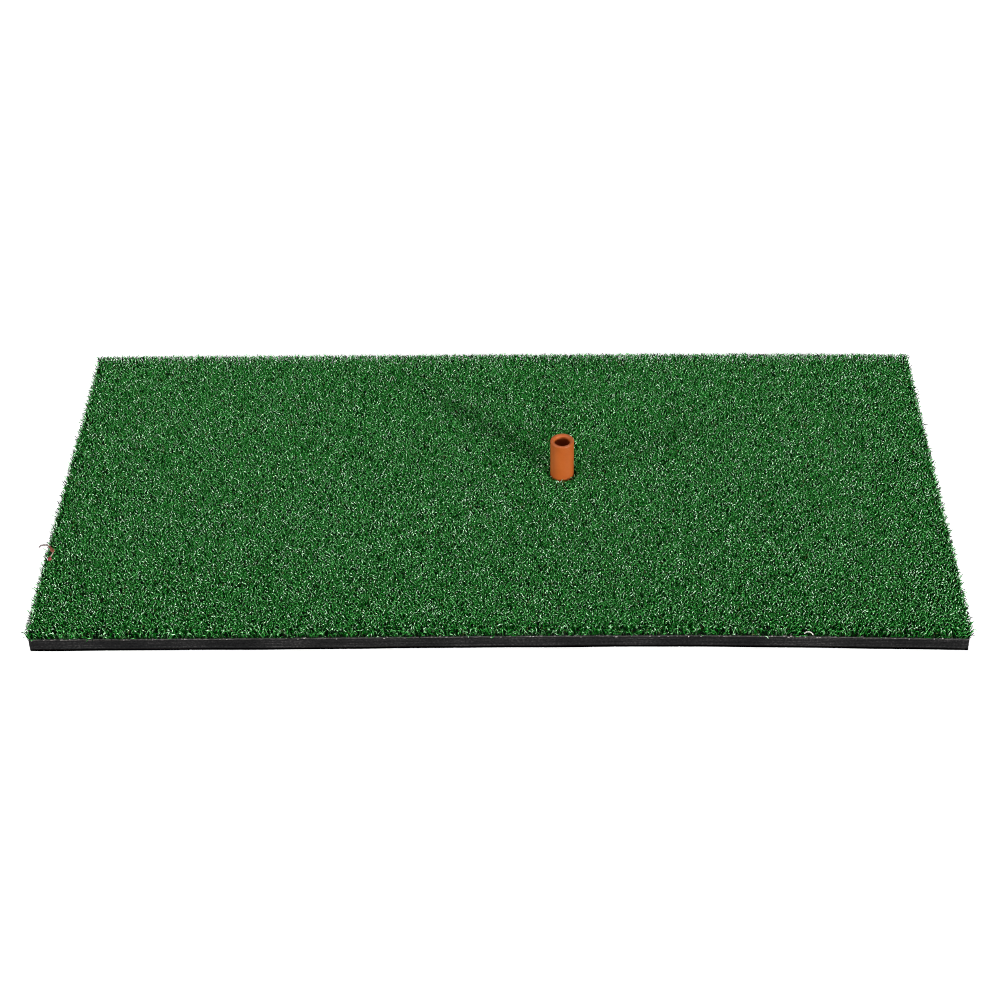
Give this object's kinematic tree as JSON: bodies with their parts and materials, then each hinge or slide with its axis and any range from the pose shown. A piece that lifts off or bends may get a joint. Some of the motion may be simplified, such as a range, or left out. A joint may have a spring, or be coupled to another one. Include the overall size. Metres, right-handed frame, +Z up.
{
  "type": "golf hitting mat",
  "caption": "Rectangular golf hitting mat: curled artificial turf on a dark foam base, with a hollow rubber tee pushed up through an off-centre hole.",
  "frame": {"origin": "centre of the mat's underside, on the floor", "axes": "+X along the long side, +Y along the short side away from the front edge, +Z up out of the turf"},
  "size_m": [0.6, 0.3, 0.045],
  "materials": {
    "foam": "matte",
    "adhesive": "satin",
    "latex": "matte",
    "backing_cloth": "matte",
    "turf": "matte",
    "tee_rubber": "satin"
  },
  "bodies": {
    "mat": {"foam_base": "foam", "adhesive_film": "adhesive", "latex_precoat": "latex", "primary_backing": "backing_cloth", "turf_pile": "turf"},
    "tee": {"tee_base": "tee_rubber", "tee_neck": "tee_rubber"},
    "tee_top": {"tee_cup": "tee_rubber"}
  },
  "joints": [
    {"name": "tee_insert", "type": "slide", "parent": "mat", "child": "tee", "axis": [0, 0, -1], "range_m": [0, 0.05]},
    {"name": "tee_flex", "type": "hinge", "parent": "tee", "child": "tee_top", "pos_m": [0.043, 0.012, 0.025], "axis": [0, 1, 0], "range_deg": [-60, 60], "stiffness_Nm_per_rad": 0.12, "deforming": ["tee_neck"]}
  ]
}
